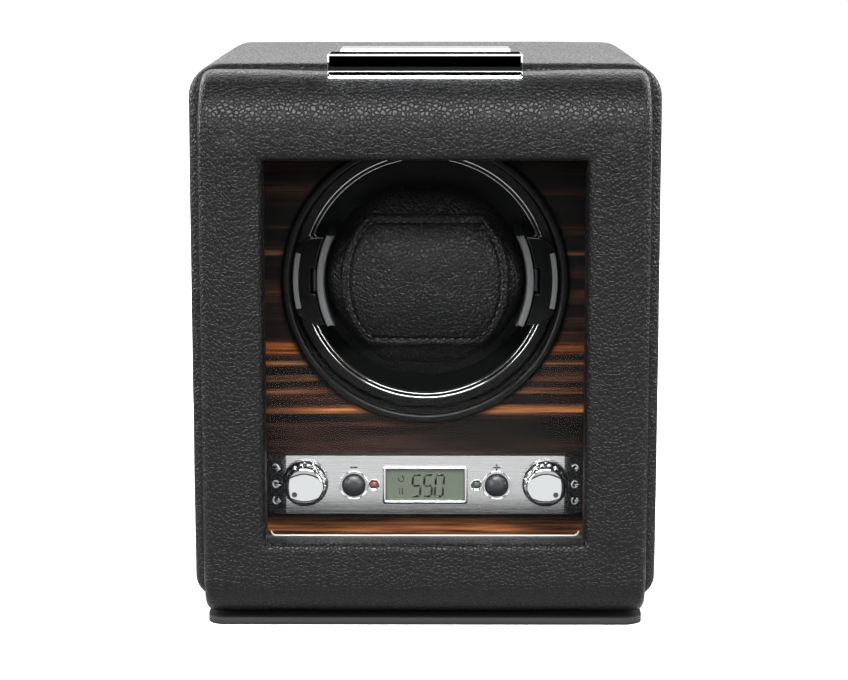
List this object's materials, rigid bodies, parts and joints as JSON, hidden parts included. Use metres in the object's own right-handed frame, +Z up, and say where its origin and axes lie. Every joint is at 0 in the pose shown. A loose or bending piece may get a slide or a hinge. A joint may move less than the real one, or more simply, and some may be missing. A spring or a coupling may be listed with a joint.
{
  "type": "watch winder box",
  "caption": "Leather-covered box with a drop-down glazed cover, an ebony fascia, a turning drum that holds a padded watch cuff, and a polished control plate.",
  "frame": {"origin": "on the table under the middle of the box", "axes": "+Z up, the glazed front faces -Y, +X to the right of someone facing the front"},
  "size_m": [0.155, 0.172, 0.1863],
  "materials": {
    "leather": "grained, black",
    "board": "fibreboard",
    "veneer": "striped ebony veneer, lacquered",
    "suede": "black velvet-covered",
    "foot": "black",
    "chrome": "polished",
    "black_gloss": "gloss",
    "black_matte": "satin",
    "foam": "moulded foam",
    "glass": "clear",
    "display": "liquid crystal panel",
    "lamp": "clear dome",
    "steel": "zinc plated",
    "brass": "sintered bush",
    "inlet": "moulded",
    "circuit": "solder mask",
    "rubber": "matt"
  },
  "bodies": {
    "case": {"base_board": "foot", "case_leather": "leather", "side_boards": "board", "top_board": "board", "bottom_board": "board", "back_board": "board", "back_leather": "leather", "back_screws": "steel", "corner_blocks": "board", "power_inlet": "inlet", "inlet_nut": "steel", "hinge_arms": "steel", "hinge_screws": "steel", "clasp_base": "chrome", "clasp_screws": "steel", "fascia_veneer": "veneer", "fascia_board": "board", "fascia_battens": "board", "front_liner": "suede", "drum_bezel": "black_gloss", "drum_housing": "black_matte", "shaft_bush": "brass", "motor_bracket": "steel", "gear_motor": "steel", "module_screws": "steel", "motor_leads": "rubber", "drive_belt": "rubber", "control_plate": "chrome", "display_frame": "chrome", "display_panel": "display", "circuit_board": "circuit", "rotary_switches": "black_matte", "press_switches": "black_matte", "board_spacers": "black_matte", "lamps": "lamp", "supply_lead": "rubber"},
    "cover": {"cover_leather": "leather", "cover_frame": "board", "clasp_keeper": "steel", "hinge_pins": "steel", "window_glass": "glass", "glass_retainer": "black_matte"},
    "clasp": {"clasp_flap": "chrome", "clasp_magnet": "steel", "clasp_pin": "steel"},
    "rotor": {"rotor_cup": "black_gloss", "rotor_ring": "chrome", "rotor_arms": "black_gloss", "rotor_shaft": "steel", "rotor_pulley": "black_matte"},
    "cuff": {"cuff_core": "foam", "cuff_pad": "leather", "cuff_patch": "leather", "cuff_caps": "black_matte"},
    "motor": {"motor_shaft": "steel", "motor_pulley": "black_matte"},
    "left_knob": {"left_knob": "chrome"},
    "right_knob": {"right_knob": "chrome"},
    "minus_button": {"minus_button": "black_matte"},
    "plus_button": {"plus_button": "black_matte"}
  },
  "joints": [
    {"name": "cover_hinge", "type": "hinge", "parent": "case", "child": "cover", "pos_m": [0, -0.0725, 0.0168], "axis": [1, 0, 0], "range_deg": [0, 90]},
    {"name": "clasp_flip", "type": "hinge", "parent": "case", "child": "clasp", "pos_m": [0, -0.0556, 0.1846], "axis": [-1, 0, 0], "range_deg": [0, 90]},
    {"name": "rotor_spin", "type": "hinge", "parent": "case", "child": "rotor", "pos_m": [0, 0, 0.1097], "axis": [0, 1, 0], "continuous": true},
    {"name": "motor_spin", "type": "hinge", "parent": "case", "child": "motor", "pos_m": [0, 0, 0.0457], "axis": [0, 1, 0], "continuous": true},
    {"name": "cuff_slide", "type": "slide", "parent": "rotor", "child": "cuff", "axis": [0, -1, 0], "range_m": [0, 0.018]},
    {"name": "left_knob_turn", "type": "hinge", "parent": "case", "child": "left_knob", "pos_m": [-0.0403, 0, 0.042], "axis": [0, 1, 0], "range_deg": [-40, 40]},
    {"name": "right_knob_turn", "type": "hinge", "parent": "case", "child": "right_knob", "pos_m": [0.0403, 0, 0.042], "axis": [0, 1, 0], "range_deg": [-40, 40]},
    {"name": "minus_press", "type": "slide", "parent": "case", "child": "minus_button", "axis": [0, 1, 0], "range_m": [0, 0.0008], "stiffness_N_per_m": 300},
    {"name": "plus_press", "type": "slide", "parent": "case", "child": "plus_button", "axis": [0, 1, 0], "range_m": [0, 0.0008], "stiffness_N_per_m": 300}
  ],
  "couplings": [
    {"joint": "motor_spin", "follows": "rotor_spin", "ratio": 5.2}
  ]
}
